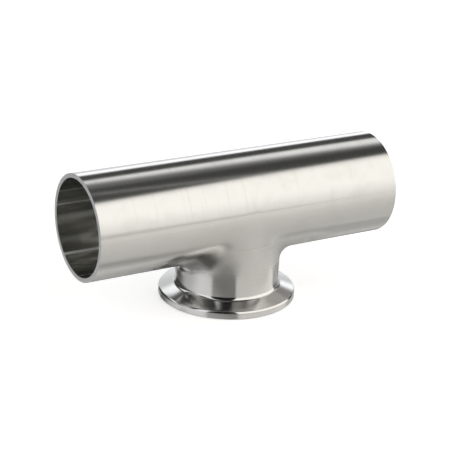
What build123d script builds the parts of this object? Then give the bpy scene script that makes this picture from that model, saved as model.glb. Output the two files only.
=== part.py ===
from build123d import *

import math
import os

# Sanitary tee for 1-1/2 in tube: a run with two weld ends, and a short outlet with a clamp flange.
# Lengths are in millimetres and angles in degrees. The origin is the middle of the clamp face, +X is
# along the run, and +Z is along the outlet, from the clamp face to the run.

# Tube, the same in the run and in the outlet
tube_od = 38.1
tube_wall = 1.651  # 16 gauge
run_length = 120.65  # over both weld ends

# Outlet, pulled out of the wall of the run
outlet_reach = 15.875  # from the underside of the run to the clamp face
outlet_blend = 5.5  # outside radius between the run and the outlet
collar_straight = 0.85  # left below that radius, for the weld

# Clamp ferrule, turned from bar, butt-welded to the outlet and ground flush
flange_overhang = 6.145  # of the rim past the tube, which makes it 50.39 across
rim_thickness = 2.845
rim_break = 0.4  # 45 degree bevel on both edges of the rim
clamp_angle = 20  # slope of the cone that the clamp pulls on
hub_fillet = 1.5  # at the foot of the cone
groove_inset = 3.375  # from the rim to the middle of the gasket's groove
groove_mouth = 3.2
groove_floor = 1.6
groove_depth = 1.5

# Worked out from the sizes above
tube_radius = tube_od / 2
bore_radius = tube_radius - tube_wall
run_height = outlet_reach + tube_radius
ferrule_length = outlet_reach - outlet_blend - collar_straight
flange_radius = tube_radius + flange_overhang
groove_radius = flange_radius - groove_inset
cone_top = rim_thickness + flange_overhang * math.tan(math.radians(clamp_angle))


def crossed_cylinders(radius, blend):
    """A run and an outlet of one radius, with their junction rounded."""
    run = Pos(0, 0, run_height) * Rotation(0, 90, 0) * Cylinder(radius, run_length)
    outlet = Pos(0, 0, ferrule_length) * Cylinder(
        radius, run_height - ferrule_length, align=(Align.CENTER, Align.CENTER, Align.MIN)
    )
    form = run + outlet
    # Cylinders of one radius that cross at right angles meet along arcs of an ellipse
    junction = form.edges().filter_by(GeomType.ELLIPSE)
    return fillet(junction, blend)


def make_tube():
    """The run with its outlet. The wall keeps its thickness round the blend."""
    outside = crossed_cylinders(tube_radius, outlet_blend)
    inside = crossed_cylinders(bore_radius, outlet_blend + tube_wall)
    return outside - inside


def corner(section, point):
    """The vertex of a section that lies at a point."""
    return section.vertices().sort_by_distance(point)[0]


def make_ferrule():
    """The turned ring: flange, clamping cone, and a hub that carries on the outlet and its bore."""
    face_edge = (flange_radius, 0)
    rim_edge = (flange_radius, rim_thickness)
    cone_foot = (tube_radius, cone_top)
    ring = make_face(
        Polyline(
            (bore_radius, 0),
            face_edge,
            rim_edge,
            cone_foot,
            (tube_radius, ferrule_length),
            (bore_radius, ferrule_length),
            close=True,
        )
    )
    ring = fillet(corner(ring, cone_foot), hub_fillet)
    for edge in (face_edge, rim_edge):
        ring = chamfer(corner(ring, edge), rim_break)
    groove = make_face(
        Polyline(
            (groove_radius - groove_mouth / 2, 0),
            (groove_radius + groove_mouth / 2, 0),
            (groove_radius + groove_floor / 2, groove_depth),
            (groove_radius - groove_floor / 2, groove_depth),
            close=True,
        )
    )
    return revolve(Plane.XZ * (ring - groove), Axis.Z)


def make_clamp_tee():
    """Tube and ferrule welded into one. Their walls stay separate faces, which meet at the weld."""
    tube = make_tube()
    ferrule = make_ferrule()
    with BuildPart() as weldment:
        add(tube)
        add(ferrule, clean=False)
    return weldment.part


clamp_tee = make_clamp_tee()
clamp_tee.label = "clamp_tee"

os.makedirs("parts", exist_ok=True)
export_step(clamp_tee, "parts/clamp_tee.step")
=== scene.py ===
import math

import bpy
from mathutils import Matrix, Vector


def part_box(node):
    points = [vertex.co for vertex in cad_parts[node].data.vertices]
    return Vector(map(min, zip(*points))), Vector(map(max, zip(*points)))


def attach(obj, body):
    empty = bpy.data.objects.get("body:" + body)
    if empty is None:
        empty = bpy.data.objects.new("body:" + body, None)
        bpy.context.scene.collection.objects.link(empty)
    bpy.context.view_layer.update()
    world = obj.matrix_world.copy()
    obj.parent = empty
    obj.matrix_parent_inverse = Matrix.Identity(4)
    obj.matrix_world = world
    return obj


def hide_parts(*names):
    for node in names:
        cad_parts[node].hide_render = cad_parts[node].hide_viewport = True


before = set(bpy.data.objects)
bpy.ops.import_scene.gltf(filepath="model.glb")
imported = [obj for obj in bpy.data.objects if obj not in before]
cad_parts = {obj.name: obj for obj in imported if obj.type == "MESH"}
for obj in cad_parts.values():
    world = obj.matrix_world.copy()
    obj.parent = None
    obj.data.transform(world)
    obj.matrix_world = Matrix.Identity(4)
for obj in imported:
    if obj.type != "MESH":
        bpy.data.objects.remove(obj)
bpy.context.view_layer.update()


# Camera
# The photo looks down on the tee from the left of its front, and is turned a little clockwise.
# The lens and the distance are those that put both weld ends and the flange where the photo has them.

mm = 0.001

camera_azimuth = math.radians(-30.737)
camera_elevation = math.radians(20.893)
camera_roll = math.radians(2.209)
camera_distance = 525 * mm
camera_target = Vector((-1.575, 0, 26.718)) * mm
sensor_width = 36
lens_length = 115.62
nearest_in_view = 10 * mm
farthest_in_view = 10000 * mm

toward_camera = Vector((
    math.sin(camera_azimuth) * math.cos(camera_elevation),
    -math.cos(camera_azimuth) * math.cos(camera_elevation),
    math.sin(camera_elevation),
))
level_right = Vector((math.cos(camera_azimuth), math.sin(camera_azimuth), 0))
level_up = toward_camera.cross(level_right)
image_right = level_right * math.cos(camera_roll) + level_up * math.sin(camera_roll)
image_up = level_up * math.cos(camera_roll) - level_right * math.sin(camera_roll)

bpy.ops.object.camera_add()
camera = bpy.context.object
camera.name = "Camera"
camera.data.sensor_width = sensor_width
camera.data.lens = lens_length
camera.data.clip_start = nearest_in_view
camera.data.clip_end = farthest_in_view
camera.matrix_world = (
    Matrix.Translation(camera_target + toward_camera * camera_distance)
    @ Matrix((image_right, image_up, toward_camera)).transposed().to_4x4()
)
bpy.context.scene.camera = camera


# Tube
# Welded stainless tube, 1-1/2 in by 16 gauge, polished outside and cut square at both ends.
# The outlet is pulled out of its wall through a die, so run and outlet are one skin, which rounds
# from one into the other with no weld.

tube_radius = 19.05 * mm
tube_wall = 1.651 * mm
outlet_blend = 5.5 * mm  # outside radius between run and outlet
weld_height = 9.525 * mm  # of the outlet's edge above the clamp face
faces_round = 192
blend_steps = 24
blend_lead = 0.4 * mm  # of narrow faces beside the blend, which keep the straight walls' shading straight
same_place = 0.001 * mm

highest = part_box("clamp_tee")[1]
run_end = highest.x
run_height = highest.z - tube_radius
bore_radius = tube_radius - tube_wall
crossing = (0, 0, run_height)


def work_on(piece):
    """Takes up one piece, in object mode and with nothing selected in its mesh."""
    if bpy.context.object and bpy.context.object.mode != "OBJECT":
        bpy.ops.object.mode_set(mode="OBJECT")
    bpy.ops.object.select_all(action="DESELECT")
    piece.select_set(True)
    bpy.context.view_layer.objects.active = piece
    bpy.ops.object.mode_set(mode="EDIT")
    bpy.ops.mesh.select_all(action="DESELECT")
    bpy.ops.object.mode_set(mode="OBJECT")


def select_faces(piece, wanted):
    """Selects the faces whose middle passes a test, and opens the piece for editing."""
    work_on(piece)
    for face in piece.data.polygons:
        face.select = wanted(face.center)
    bpy.ops.object.mode_set(mode="EDIT")
    bpy.ops.mesh.select_mode(type="FACE")


def select_edges(piece, wanted):
    """Selects the edges whose two ends both pass a test, and opens the piece for editing."""
    work_on(piece)
    points = [vertex.co for vertex in piece.data.vertices]
    for edge in piece.data.edges:
        edge.select = all(wanted(points[end]) for end in edge.vertices)
    bpy.ops.object.mode_set(mode="EDIT")
    bpy.ops.mesh.select_mode(type="EDGE")


def extrude_and_scale(scale, centre):
    """Draws a new row of faces from the selected edges and scales its far side about a point."""
    bpy.ops.mesh.extrude_region()
    bpy.ops.transform.resize(value=scale, center_override=centre)


def pull_outlet(name, radius, blend_radius):
    """One skin of the tube: a straight run, opened below, with the outlet drawn down from the opening."""
    bpy.ops.object.select_all(action="DESELECT")
    bpy.ops.mesh.primitive_cylinder_add(
        vertices=faces_round,
        radius=radius,
        depth=2 * run_end,
        end_fill_type="NOTHING",
        location=crossing,
        rotation=(0, math.pi / 2, 0),
    )
    skin = bpy.context.object
    skin.name = name
    bpy.ops.object.transform_apply()

    # The opening's two edges lie in planes through the middle of the crossing
    reach = radius + blend_radius
    opening = reach + blend_lead

    def above_opening(point):
        """How far a point is above those planes. It is less than 0 inside the opening."""
        return abs(point.x) * radius / opening - (run_height - point.z)

    select_faces(skin, lambda middle: True)
    bpy.ops.mesh.bisect(plane_co=crossing, plane_no=(1, 0, 0), threshold=same_place)
    for side in (-1, 1):
        select_faces(skin, lambda middle: middle.z < run_height)
        bpy.ops.mesh.bisect(
            plane_co=crossing, plane_no=(side * radius, 0, opening), threshold=same_place
        )
    select_faces(skin, lambda middle: above_opening(middle) < 0)
    bpy.ops.mesh.delete(type="FACE")

    # Each row of the blend is the row before it, drawn in and down round the arc
    select_edges(skin, lambda point: abs(above_opening(point)) < same_place)
    extrude_and_scale((reach / opening, 1, 1), crossing)
    across, down = reach, radius
    for step in range(1, blend_steps + 1):
        turned = math.pi / 2 * step / blend_steps
        next_across = reach - blend_radius * math.sin(turned)
        next_down = reach - blend_radius * math.cos(turned)
        extrude_and_scale((next_across / across, 1, next_down / down), crossing)
        across, down = next_across, next_down
    extrude_and_scale((1, 1, opening / reach), crossing)
    extrude_and_scale((1, 1, 0), (0, 0, weld_height))

    bpy.ops.mesh.select_all(action="SELECT")
    bpy.ops.mesh.remove_doubles(threshold=same_place)
    bpy.ops.object.mode_set(mode="OBJECT")
    return skin


def feed(tree, socket, value):
    """Feeds an input with another node's output, with a colour, or with a plain value."""
    if isinstance(value, bpy.types.NodeSocket):
        tree.links.new(value, socket)
    elif socket.type == "RGBA":
        socket.default_value = (*value, 1)
    else:
        socket.default_value = value


def add_node(tree, kind, inputs=None, **settings):
    """Adds a node to a node tree, sets it up, and feeds its inputs."""
    added = tree.nodes.new("ShaderNode" + kind)
    for setting, value in settings.items():
        setattr(added, setting, value)
    for name, value in (inputs or {}).items():
        feed(tree, added.inputs[name], value)
    return added


def calculate(tree, operation, *values):
    """Works out one value from others."""
    return add_node(tree, "Math", dict(enumerate(values)), operation=operation).outputs[0]


def calculate_vector(tree, operation, *vectors):
    """Works out one vector from others."""
    return add_node(tree, "VectorMath", dict(enumerate(vectors)), operation=operation).outputs[0]


def ease(tree, value, start, end):
    """Rises smoothly from 0 to 1 as a value goes from start to end."""
    eased = {"Value": value, "From Min": start, "From Max": end}
    return add_node(tree, "MapRange", eased, interpolation_type="SMOOTHSTEP").outputs[0]


def overlap(tree, *shares):
    """The product of some shares, which is 1 only where all of them are 1."""
    product = shares[0]
    for share in shares[1:]:
        product = calculate(tree, "MULTIPLY", product, share)
    return product


def blend(tree, kind, share, first, second):
    """The first value, vector or colour where the share is 0, and the second where it is 1."""
    blended = {"Factor": share, "A": first, "B": second}
    return add_node(tree, "Mix", blended, data_type=kind).outputs["Result"]


def place_on_piece(tree):
    """Where a point lies on the piece, in metres."""
    return add_node(tree, "TexCoord").outputs["Object"]


def take_apart(tree, vector):
    """The X, Y and Z of a vector."""
    return add_node(tree, "SeparateXYZ", {0: vector}).outputs


def angle_toward(tree, side, ahead):
    """The angle in degrees by which a direction is turned from ahead toward the side."""
    return calculate(tree, "DEGREES", calculate(tree, "ARCTAN2", side, ahead))


across_run = (0, 1, 1)
across_outlet = (1, 1, 0)


def flatten(tree, place, across):
    """What is left of a place when its part along an axis is dropped."""
    return calculate_vector(tree, "MULTIPLY", place, across)


def distance_from_axis(tree, place, across):
    """How far a place is from an axis."""
    flat = flatten(tree, place, across)
    return add_node(tree, "VectorMath", {0: flat}, operation="LENGTH").outputs["Value"]


def past_crossing(tree, place):
    """How far a place is past the edge where run and outlet meet. It is less than 0 on the outlet."""
    apart = take_apart(tree, place)
    below_axis = calculate(tree, "SUBTRACT", run_height, apart["Z"])
    return calculate(tree, "SUBTRACT", calculate(tree, "ABSOLUTE", apart["X"]), below_axis)


scratch_limits = (0.6, 0.74)
smudge_limits = (0.42, 0.72)
smudge_share = 0.55  # of all wear. The rest is scratches.


def make_worked_surface():
    """What every finish on the tee shares: hairlines along the tool's path, odd scratches and smudges."""
    group = bpy.data.node_groups.new("worked surface", "ShaderNodeTree")
    for name in ("Place", "Along the tool's path"):
        group.interface.new_socket(name, in_out="INPUT", socket_type="NodeSocketVector")
    for name in ("Hairlines", "Wear"):
        group.interface.new_socket(name, in_out="OUTPUT", socket_type="NodeSocketFloat")
    given = group.nodes.new("NodeGroupInput").outputs
    wanted = group.nodes.new("NodeGroupOutput").inputs
    path = given["Along the tool's path"]
    hairlines = {"Vector": path, "Scale": 1.0, "Detail": 3.0, "Roughness": 0.65}
    deeper_lines = {"Vector": path, "Scale": 0.31, "Detail": 1.0, "Roughness": 0.5}
    clouds = {"Vector": given["Place"], "Scale": 110.0, "Detail": 3.0, "Distortion": 0.6}
    scratches = ease(group, add_node(group, "TexNoise", deeper_lines).outputs[0], *scratch_limits)
    smudges = ease(group, add_node(group, "TexNoise", clouds).outputs[0], *smudge_limits)
    feed(group, wanted["Hairlines"], add_node(group, "TexNoise", hairlines).outputs[0])
    feed(group, wanted["Wear"], blend(group, "FLOAT", smudge_share, scratches, smudges))
    return group


worked_surface = make_worked_surface()


def steel(name, find_path, colour, worn_colour, roughness, worn_roughness, line_height, metallic=1):
    """A steel finish whose tool marks follow the path that find_path gives."""
    material = bpy.data.materials.new(name)
    material.use_nodes = True
    tree = material.node_tree
    shader = tree.nodes["Principled BSDF"]
    place = place_on_piece(tree)
    worked = {"Place": place, "Along the tool's path": find_path(tree, place)}
    surface = add_node(tree, "Group", worked, node_tree=worked_surface).outputs
    feed(tree, shader.inputs["Base Color"], blend(tree, "RGBA", surface["Wear"], colour, worn_colour))
    rougher = blend(tree, "FLOAT", surface["Wear"], roughness, worn_roughness)
    feed(tree, shader.inputs["Roughness"], rougher)
    lines = {"Height": surface["Hairlines"], "Strength": 1.0, "Distance": line_height}
    feed(tree, shader.inputs["Normal"], add_node(tree, "Bump", lines, name="Tool marks").outputs[0])
    shader.inputs["Metallic"].default_value = metallic
    return material


def roughen(material, share, roughness):
    """Makes a finish rougher where a share is 1."""
    tree = material.node_tree
    socket = tree.nodes["Principled BSDF"].inputs["Roughness"]
    before = socket.links[0].from_socket
    feed(tree, socket, blend(tree, "FLOAT", share, before, roughness))


# How fine the tool marks are, for each metre across the tool's path or along it
belt_lines = 5200
along_belt = 90
mandrel_lines = 3600
along_mandrel = 60
facing_rings = 7000
belts_meet = (-3 * mm, 3 * mm)  # past the crossing, from the outlet's belts to the run's


def polishing_path(tree, place):
    """Polishing belts go round the run, and round the outlet below it. The blend is where they meet."""
    on_run = ease(tree, past_crossing(tree, place), *belts_meet)
    round_outlet = calculate_vector(tree, "MULTIPLY", place, (along_belt, along_belt, belt_lines))
    round_run = calculate_vector(tree, "MULTIPLY", place, (belt_lines, along_belt, along_belt))
    return blend(tree, "VECTOR", on_run, round_outlet, round_run)


def drawing_path(tree, place):
    """The bore keeps the lengthwise lines that the drawing mandrel left."""
    return calculate_vector(tree, "MULTIPLY", place, (along_mandrel, mandrel_lines, mandrel_lines))


def facing_path(tree, place):
    """A facing tool leaves rings on the cut ends."""
    from_crossing = calculate_vector(tree, "SUBTRACT", place, crossing)
    outward = distance_from_axis(tree, from_crossing, across_run)
    rings = calculate(tree, "MULTIPLY", outward, facing_rings)
    return add_node(tree, "CombineXYZ", {"X": rings}).outputs[0]


polished_tube = steel(
    "polished tube",
    polishing_path,
    colour=(0.635, 0.63, 0.615),
    worn_colour=(0.59, 0.582, 0.565),
    roughness=0.14,
    worn_roughness=0.17,
    line_height=0.0002 * mm,
)
drawn_bore = steel(
    "drawn bore",
    drawing_path,
    colour=(0.75, 0.75, 0.73),
    worn_colour=(0.72, 0.72, 0.7),
    roughness=0.13,
    worn_roughness=0.15,
    line_height=0.0003 * mm,
)
faced_end = steel(
    "faced end",
    facing_path,
    colour=(0.8, 0.805, 0.815),
    worn_colour=(0.75, 0.75, 0.75),
    roughness=0.45,
    worn_roughness=0.55,
    line_height=0.0006 * mm,
    metallic=0.5,  # the torn grain of a cut scatters part of the light
)

# The pulled part of the tube was blended by hand, and is duller than the rest. Each pair goes from
# where nothing was blended to where all of it was.
blended_beside_outlet = (34 * mm, 24 * mm)  # to both sides, from the outlet's axis
blended_from_below = (11 * mm, 17 * mm)  # heights above the clamp face
blended_from_above = (29 * mm, 21 * mm)
blended_roughness = 0.33

tree = polished_tube.node_tree
place = place_on_piece(tree)
apart = take_apart(tree, place)
beside_outlet = ease(tree, calculate(tree, "ABSOLUTE", apart["X"]), *blended_beside_outlet)
above_hub = ease(tree, apart["Z"], *blended_from_below)
below_axis = ease(tree, apart["Z"], *blended_from_above)
roughen(polished_tube, overlap(tree, beside_outlet, above_hub, below_axis), blended_roughness)

# At its two sides the crossing was dressed over a wider area, so it turns light more softly there:
# within the first two pairs, from the way that the outlet's wall faces to the way that the run's does.
dressed_above_weld = (weld_height + 2 * mm, weld_height + 7 * mm)
dressed_past_crossing = (-14 * mm, 8 * mm)
dressed_from_middle = (6 * mm, 12 * mm)  # to the front and to the back

from_crossing = calculate_vector(tree, "SUBTRACT", place, crossing)
off_outlet = calculate_vector(tree, "NORMALIZE", flatten(tree, from_crossing, across_outlet))
off_run = calculate_vector(tree, "NORMALIZE", flatten(tree, from_crossing, across_run))
above_weld = ease(tree, apart["Z"], *dressed_above_weld)
onto_run = overlap(tree, above_weld, ease(tree, past_crossing(tree, place), *dressed_past_crossing))
dressed = calculate_vector(tree, "NORMALIZE", blend(tree, "VECTOR", onto_run, off_outlet, off_run))
from_middle = ease(tree, calculate(tree, "ABSOLUTE", apart["Y"]), *dressed_from_middle)
at_side = overlap(tree, beside_outlet, from_middle)
outside = add_node(tree, "NewGeometry").outputs["Normal"]
feed(tree, tree.nodes["Tool marks"].inputs["Normal"], blend(tree, "VECTOR", at_side, outside, dressed))

# The tube's own weld seam was rolled flat, and still shows along the bore, as does a line that the
# mandrel drew. They are dull, and are placed in degrees round the bore, from the top by way of the back.
seam_at = 141
seam_half_width = 1.1
line_at = 81
edges_fade = 1
seam_roughness = 0.5

tree = drawn_bore.node_tree
apart = take_apart(tree, place_on_piece(tree))
above_axis = calculate(tree, "SUBTRACT", apart["Z"], run_height)
round_bore = angle_toward(tree, apart["Y"], above_axis)
beside_seam = calculate(tree, "ABSOLUTE", calculate(tree, "SUBTRACT", round_bore, seam_at))
beside_line = calculate(tree, "ABSOLUTE", calculate(tree, "SUBTRACT", round_bore, line_at))
nearer = calculate(tree, "MINIMUM", beside_seam, calculate(tree, "ADD", beside_line, seam_half_width))
dull = ease(tree, nearer, seam_half_width + edges_fade, seam_half_width)
roughen(drawn_bore, dull, seam_roughness)
feed(tree, tree.nodes["Principled BSDF"].inputs["Metallic"], calculate(tree, "SUBTRACT", 1, dull))


def finish(piece, material, wanted):
    """Gives a material to the piece's faces whose middle passes a test."""
    piece.data.materials.append(material)
    for face in piece.data.polygons:
        if wanted(face.center):
            face.material_index = len(piece.data.materials) - 1


tee = pull_outlet("polished_tee", tube_radius, outlet_blend)
for side in (-1, 1):
    select_edges(tee, lambda point: abs(point.x - side * run_end) < same_place)
    extrude_and_scale((1, bore_radius / tube_radius, bore_radius / tube_radius), crossing)
bpy.ops.object.mode_set(mode="OBJECT")
finish(tee, polished_tube, lambda middle: True)
finish(tee, faced_end, lambda middle: abs(middle.x) > run_end - same_place)
tube_inside = pull_outlet("tube_inside", bore_radius, outlet_blend + tube_wall)
finish(tube_inside, drawn_bore, lambda middle: True)


# Ferrule
# A ring turned from stainless bar: a flat clamp face with a groove for the gasket's bead, a thin rim,
# a cone that the clamp pulls on, and a hub as wide as the tube.

flange_overhang = 6.145 * mm
rim_thickness = 2.845 * mm
rim_break = 0.4 * mm
clamp_angle = math.radians(20)
hub_fillet = 1.5 * mm
fillet_steps = 8
groove_inset = 3.375 * mm  # from the rim to the middle of the groove
groove_mouth = 3.2 * mm
groove_floor = 1.6 * mm
groove_depth = 1.5 * mm

flange_radius = tube_radius + flange_overhang
groove_radius = flange_radius - groove_inset
cone_top = rim_thickness + flange_overhang * math.tan(clamp_angle)

turned_outline = [
    (bore_radius, weld_height),
    (bore_radius, 0),
    (groove_radius - groove_mouth / 2, 0),
    (groove_radius - groove_floor / 2, groove_depth),
    (groove_radius + groove_floor / 2, groove_depth),
    (groove_radius + groove_mouth / 2, 0),
    (flange_radius, 0),
    (flange_radius, rim_thickness),
    (tube_radius, cone_top),
    (tube_radius, weld_height),
]


def select_ring(piece, radius, height):
    """Selects the edges that run round the outlet's axis at one radius and height."""
    select_edges(
        piece,
        lambda point: abs(math.hypot(point.x, point.y) - radius) < same_place
        and abs(point.z - height) < same_place,
    )


def turn_ring(name, outline):
    """Draws a ring out along an outline of radii and heights, as a lathe tool would follow it."""
    radius, height = outline[0]
    bpy.ops.object.select_all(action="DESELECT")
    bpy.ops.mesh.primitive_circle_add(vertices=faces_round, radius=radius, location=(0, 0, height))
    ring = bpy.context.object
    ring.name = name
    bpy.ops.object.transform_apply()
    select_ring(ring, radius, height)
    for next_radius, next_height in outline[1:]:
        share = next_radius / radius
        extrude_and_scale((share, share, 1), (0, 0, height))
        bpy.ops.transform.translate(value=(0, 0, next_height - height))
        radius, height = next_radius, next_height
    bpy.ops.object.mode_set(mode="OBJECT")
    return ring


ferrule = turn_ring("ferrule", turned_outline)
select_ring(ferrule, tube_radius, cone_top)
fillet_setback = hub_fillet * math.tan(math.pi / 4 - clamp_angle / 2)
bpy.ops.mesh.bevel(offset=fillet_setback, segments=fillet_steps, profile=0.5, clamp_overlap=False)
for height in (0, rim_thickness):
    select_ring(ferrule, flange_radius, height)
    bpy.ops.mesh.bevel(offset=rim_break, segments=1, clamp_overlap=False)
bpy.ops.object.mode_set(mode="OBJECT")

turning_lines = 6500  # for each metre across the tool's path


def turning_path(tree, place):
    """The lathe tool goes round the outlet's axis, and from ring to ring down the outline."""
    height = take_apart(tree, place)["Z"]
    down_outline = calculate(tree, "ADD", distance_from_axis(tree, place, across_outlet), height)
    lines = calculate(tree, "MULTIPLY", down_outline, turning_lines)
    return add_node(tree, "CombineXYZ", {"X": lines}).outputs[0]


turned_steel = steel(
    "turned steel",
    turning_path,
    colour=(0.645, 0.64, 0.63),
    worn_colour=(0.6, 0.595, 0.58),
    roughness=0.12,
    worn_roughness=0.15,
    line_height=0.0002 * mm,
)
finish(ferrule, turned_steel, lambda middle: True)


# Weld
# The ferrule is butt-welded to the outlet inside and out, and the bead is ground flush, so the two are
# one piece of metal. Its cut and turned edges are broken by hand, which leaves a fine bright line.

edge_break = 0.09 * mm
edge_break_steps = 2
sharp_angle = math.radians(30)

bpy.ops.object.select_all(action="DESELECT")
for piece in (tee, tube_inside, ferrule):
    piece.select_set(True)
bpy.context.view_layer.objects.active = tee
bpy.ops.object.join()

bpy.ops.object.mode_set(mode="EDIT")
bpy.ops.mesh.select_all(action="SELECT")
bpy.ops.mesh.remove_doubles(threshold=same_place)
bpy.ops.mesh.normals_make_consistent(inside=False)
bpy.ops.object.mode_set(mode="OBJECT")
bpy.ops.object.shade_smooth()

broken_edges = tee.modifiers.new("Broken edges", "BEVEL")
broken_edges.limit_method = "ANGLE"
broken_edges.angle_limit = sharp_angle
broken_edges.width = edge_break
broken_edges.segments = edge_break_steps
bpy.ops.object.modifier_apply(modifier=broken_edges.name)
even_shading = tee.modifiers.new("Even shading", "WEIGHTED_NORMAL")
even_shading.keep_sharp = True
bpy.ops.object.modifier_apply(modifier=even_shading.name)

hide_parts("clamp_tee")
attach(tee, "root")


# Table
# A wide, pale table top with a clear glaze, on which the tee stands. It ends two hands' widths in
# front of the tee. The picture shows it plain white, while the steel mirrors its glaze.

table_front = -230 * mm
table_back = 800 * mm
table_side = 800 * mm
table_colour = (0.86, 0.855, 0.845)
table_roughness = 0.9
table_glow = 0.6  # in view only, so the table is white there and keeps a faint shadow
white = (1, 1, 1)
glaze_before = (0.72, 0.71, 0.69)
# painted shade behind the tee: its colour, and the pairs where it sets in
glaze_painted_shade = (0.22, 0.22, 0.22)
painted_shade_from_middle = (0, 40 * mm)
painted_shade_from_left = (-95 * mm, -65 * mm)
glaze_roughness = 0.1
glaze_index = 2.2  # of refraction, high enough to mirror the panel of light at low angles
# painted light: how strongly the glaze glows along the tee's front, and the pairs where the glow sets in
painted_thrown_light = 0.3
painted_light_before_middle = (-33 * mm, -17 * mm)
painted_light_behind_middle = (6 * mm, -10 * mm)


def stand_sheet(name, middle, width, length, rotation=(0, 0, 0)):
    """A flat sheet of the studio."""
    bpy.ops.object.select_all(action="DESELECT")
    bpy.ops.mesh.primitive_plane_add(size=1, location=middle, rotation=rotation)
    sheet = bpy.context.object
    sheet.name = name
    sheet.scale = (width, length, 1)
    bpy.ops.object.transform_apply()
    return sheet


def split_view(tree, mirrored, in_view):
    """One shader for what the steel mirrors, and another for what the picture shows."""
    straight = add_node(tree, "LightPath").outputs["Is Camera Ray"]
    shaders = {0: straight, 1: mirrored.outputs[0], 2: in_view.outputs[0]}
    return add_node(tree, "MixShader", shaders).outputs[0]


table_middle = (table_front + table_back) / 2
table = stand_sheet("Table", (0, table_middle, 0), 2 * table_side, table_back - table_front)

glazed_table = bpy.data.materials.new("glazed table")
glazed_table.use_nodes = True
tree = glazed_table.node_tree
glaze = tree.nodes["Principled BSDF"]
apart = take_apart(tree, place_on_piece(tree))

# Painted shade: behind the tee the glaze is painted darker, as if it lay in the card's shade
from_middle = ease(tree, apart["Y"], *painted_shade_from_middle)
painted_shade_behind = overlap(tree, from_middle, ease(tree, apart["X"], *painted_shade_from_left))
feed(tree, glaze.inputs["Base Color"], blend(tree, "RGBA", painted_shade_behind, glaze_before, glaze_painted_shade))

# Painted light: a glow in the glaze, in a band along the tee's front, stands for the light that the tee
# throws down on the table
before_middle = ease(tree, apart["Y"], *painted_light_before_middle)
painted_light_beneath = overlap(tree, before_middle, ease(tree, apart["Y"], *painted_light_behind_middle))
feed(tree, glaze.inputs["Emission Strength"], calculate(tree, "MULTIPLY", painted_light_beneath, painted_thrown_light))
feed(tree, glaze.inputs["Emission Color"], white)
glaze.inputs["Roughness"].default_value = glaze_roughness
glaze.inputs["IOR"].default_value = glaze_index
glaze.inputs["Coat Weight"].default_value = 1
glaze.inputs["Coat Roughness"].default_value = glaze_roughness
glaze.inputs["Coat IOR"].default_value = glaze_index

plain_table = {
    "Base Color": table_colour,
    "Roughness": table_roughness,
    "Emission Color": white,
    "Emission Strength": table_glow,
}
plain = add_node(tree, "BsdfPrincipled", plain_table)
feed(tree, tree.nodes["Material Output"].inputs["Surface"], split_view(tree, glaze, plain))
table.data.materials.append(glazed_table)


# Card
# A tall white card that stands on the table behind the tee and gives its own light: bright above the
# middle, and dark at its top. The steel mirrors it, and the picture doesn't show it.

card_behind = 170 * mm
card_left = -10 * mm
card_right = 280 * mm
card_top = 156 * mm
card_slant = 0.12  # how far its shades fall to the right, for each mm along
card_foot = (0.95, 0.96, 0.98)
card_shades = [  # upward, each with the heights where it starts and where it is full
    ((20 * mm, 62 * mm), (0.78, 0.79, 0.81)),
    ((74 * mm, 102 * mm), (1.5, 1.52, 1.56)),
    ((132 * mm, 154 * mm), (0.07, 0.07, 0.07)),
]

card_middle = ((card_left + card_right) / 2, card_behind, card_top / 2)
card = stand_sheet("Card", card_middle, card_right - card_left, card_top, (math.pi / 2, 0, 0))
card.visible_camera = False
card.visible_diffuse = False
card.visible_shadow = False

white_card = bpy.data.materials.new("white card")
white_card.use_nodes = True
tree = white_card.node_tree
apart = take_apart(tree, place_on_piece(tree))
height = calculate(tree, "ADD", apart["Z"], calculate(tree, "MULTIPLY", apart["X"], card_slant))
shade = card_foot
for heights, next_shade in card_shades:
    shade = blend(tree, "RGBA", ease(tree, height, *heights), shade, next_shade)
card_light = add_node(tree, "Emission", {"Color": shade})
feed(tree, tree.nodes["Material Output"].inputs["Surface"], card_light.outputs[0])
card.data.materials.append(white_card)


# Studio
# A dark room with a wide, warm panel of light in front and a dark screen round the camera before it,
# long strips overhead, a pale wall behind and a window at the left. The picture shows it plain white.

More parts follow.
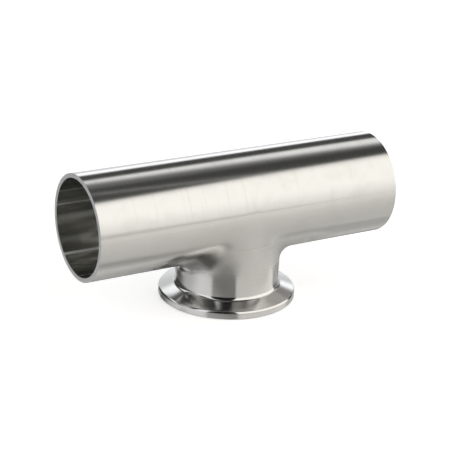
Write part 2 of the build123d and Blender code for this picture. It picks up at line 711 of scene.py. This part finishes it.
# Each light is a long band beside the run, with two soft edges. An edge is given by where it is dark,
# where it is lit, in degrees from overhead toward the front, and how far it leans per unit of x.
# Then come its colour and where along x the band ends, dark first.
whole_length = (-2, -1)
light_bands = [
    # The pale wall behind
    ((-91, -88, 0), (-60, -70, -35), (0.95, 0.96, 0.98), (-0.12, 0.02)),
    # The wide strip overhead with its dim surround, and a narrow one nearer the front
    ((-45, -37, -15), (-6, -20, 0), (0.19, 0.19, 0.185), (0.9, 0.8)),
    ((-45.5, -36, -15), (-18, -34, 40), (1.16, 1.16, 1.15), (0.9, 0.8)),
    ((8.3, 11.3, 124), (14.3, 11.3, 124), (0.5, 0.5, 0.49), whole_length),
    # The panel in front, from its dimmer lower edge to its bright middle
    ((60, 70, 0), (110, 104, 0), (0.74, 0.73, 0.69), whole_length),
    ((14, 22, -60), (96.7, 94, 45), (1.12, 1.1, 1.04), whole_length),
    ((17, 30, -50), (97, 60, 45), (1.47, 1.44, 1.37), whole_length),
    # The window at the left
    ((-66, -58, 0), (60, 45, 0), (1.15, 1.16, 1.18), (-0.28, -0.4)),
]
edges_hold_at = 0.48  # of x, where a leaning edge is at the angle given
no_lean_before = 0.3  # of x, where the edges stop leaning
unlit = (0.062, 0.062, 0.058)

dark_screen = (0.012, 0.012, 0.014)
screen_left = (-64, -61)  # degrees round the table from its front, clear first
screen_right = (-8, -11)
screen_top = (12, 24)  # degrees from overhead

studio = bpy.data.worlds.new("Studio")
bpy.context.scene.world = studio
studio.use_nodes = True
tree = studio.node_tree
direction = take_apart(tree, add_node(tree, "TexCoord").outputs["Generated"])
rightward = direction["X"]
forward = calculate(tree, "MULTIPLY", direction["Y"], -1)
from_overhead = angle_toward(tree, forward, direction["Z"])
round_table = angle_toward(tree, rightward, forward)


def band_edge(tree, dark, lit, lean):
    """One soft edge of a band of light."""
    along = calculate(tree, "MAXIMUM", rightward, no_lean_before)
    shift = calculate(tree, "MULTIPLY", calculate(tree, "SUBTRACT", along, edges_hold_at), lean)
    return ease(tree, calculate(tree, "SUBTRACT", from_overhead, shift), dark, lit)


light = unlit
for upper_edge, lower_edge, colour, end in light_bands:
    edges = overlap(tree, band_edge(tree, *upper_edge), band_edge(tree, *lower_edge))
    light = blend(tree, "RGBA", overlap(tree, edges, ease(tree, rightward, *end)), light, colour)

screen_width = overlap(tree, ease(tree, round_table, *screen_left), ease(tree, round_table, *screen_right))
beside_camera = overlap(tree, screen_width, ease(tree, from_overhead, *screen_top))
light = blend(tree, "RGBA", beside_camera, light, dark_screen)
room = add_node(tree, "Background", {"Color": light})
backdrop = add_node(tree, "Background", {"Color": white})
feed(tree, tree.nodes["World Output"].inputs["Surface"], split_view(tree, room, backdrop))

# Light that enters the bore is thrown from wall to wall six times or more before it leaves
bpy.context.scene.cycles.glossy_bounces = 10

bpy.context.scene.view_settings.view_transform = "Standard"
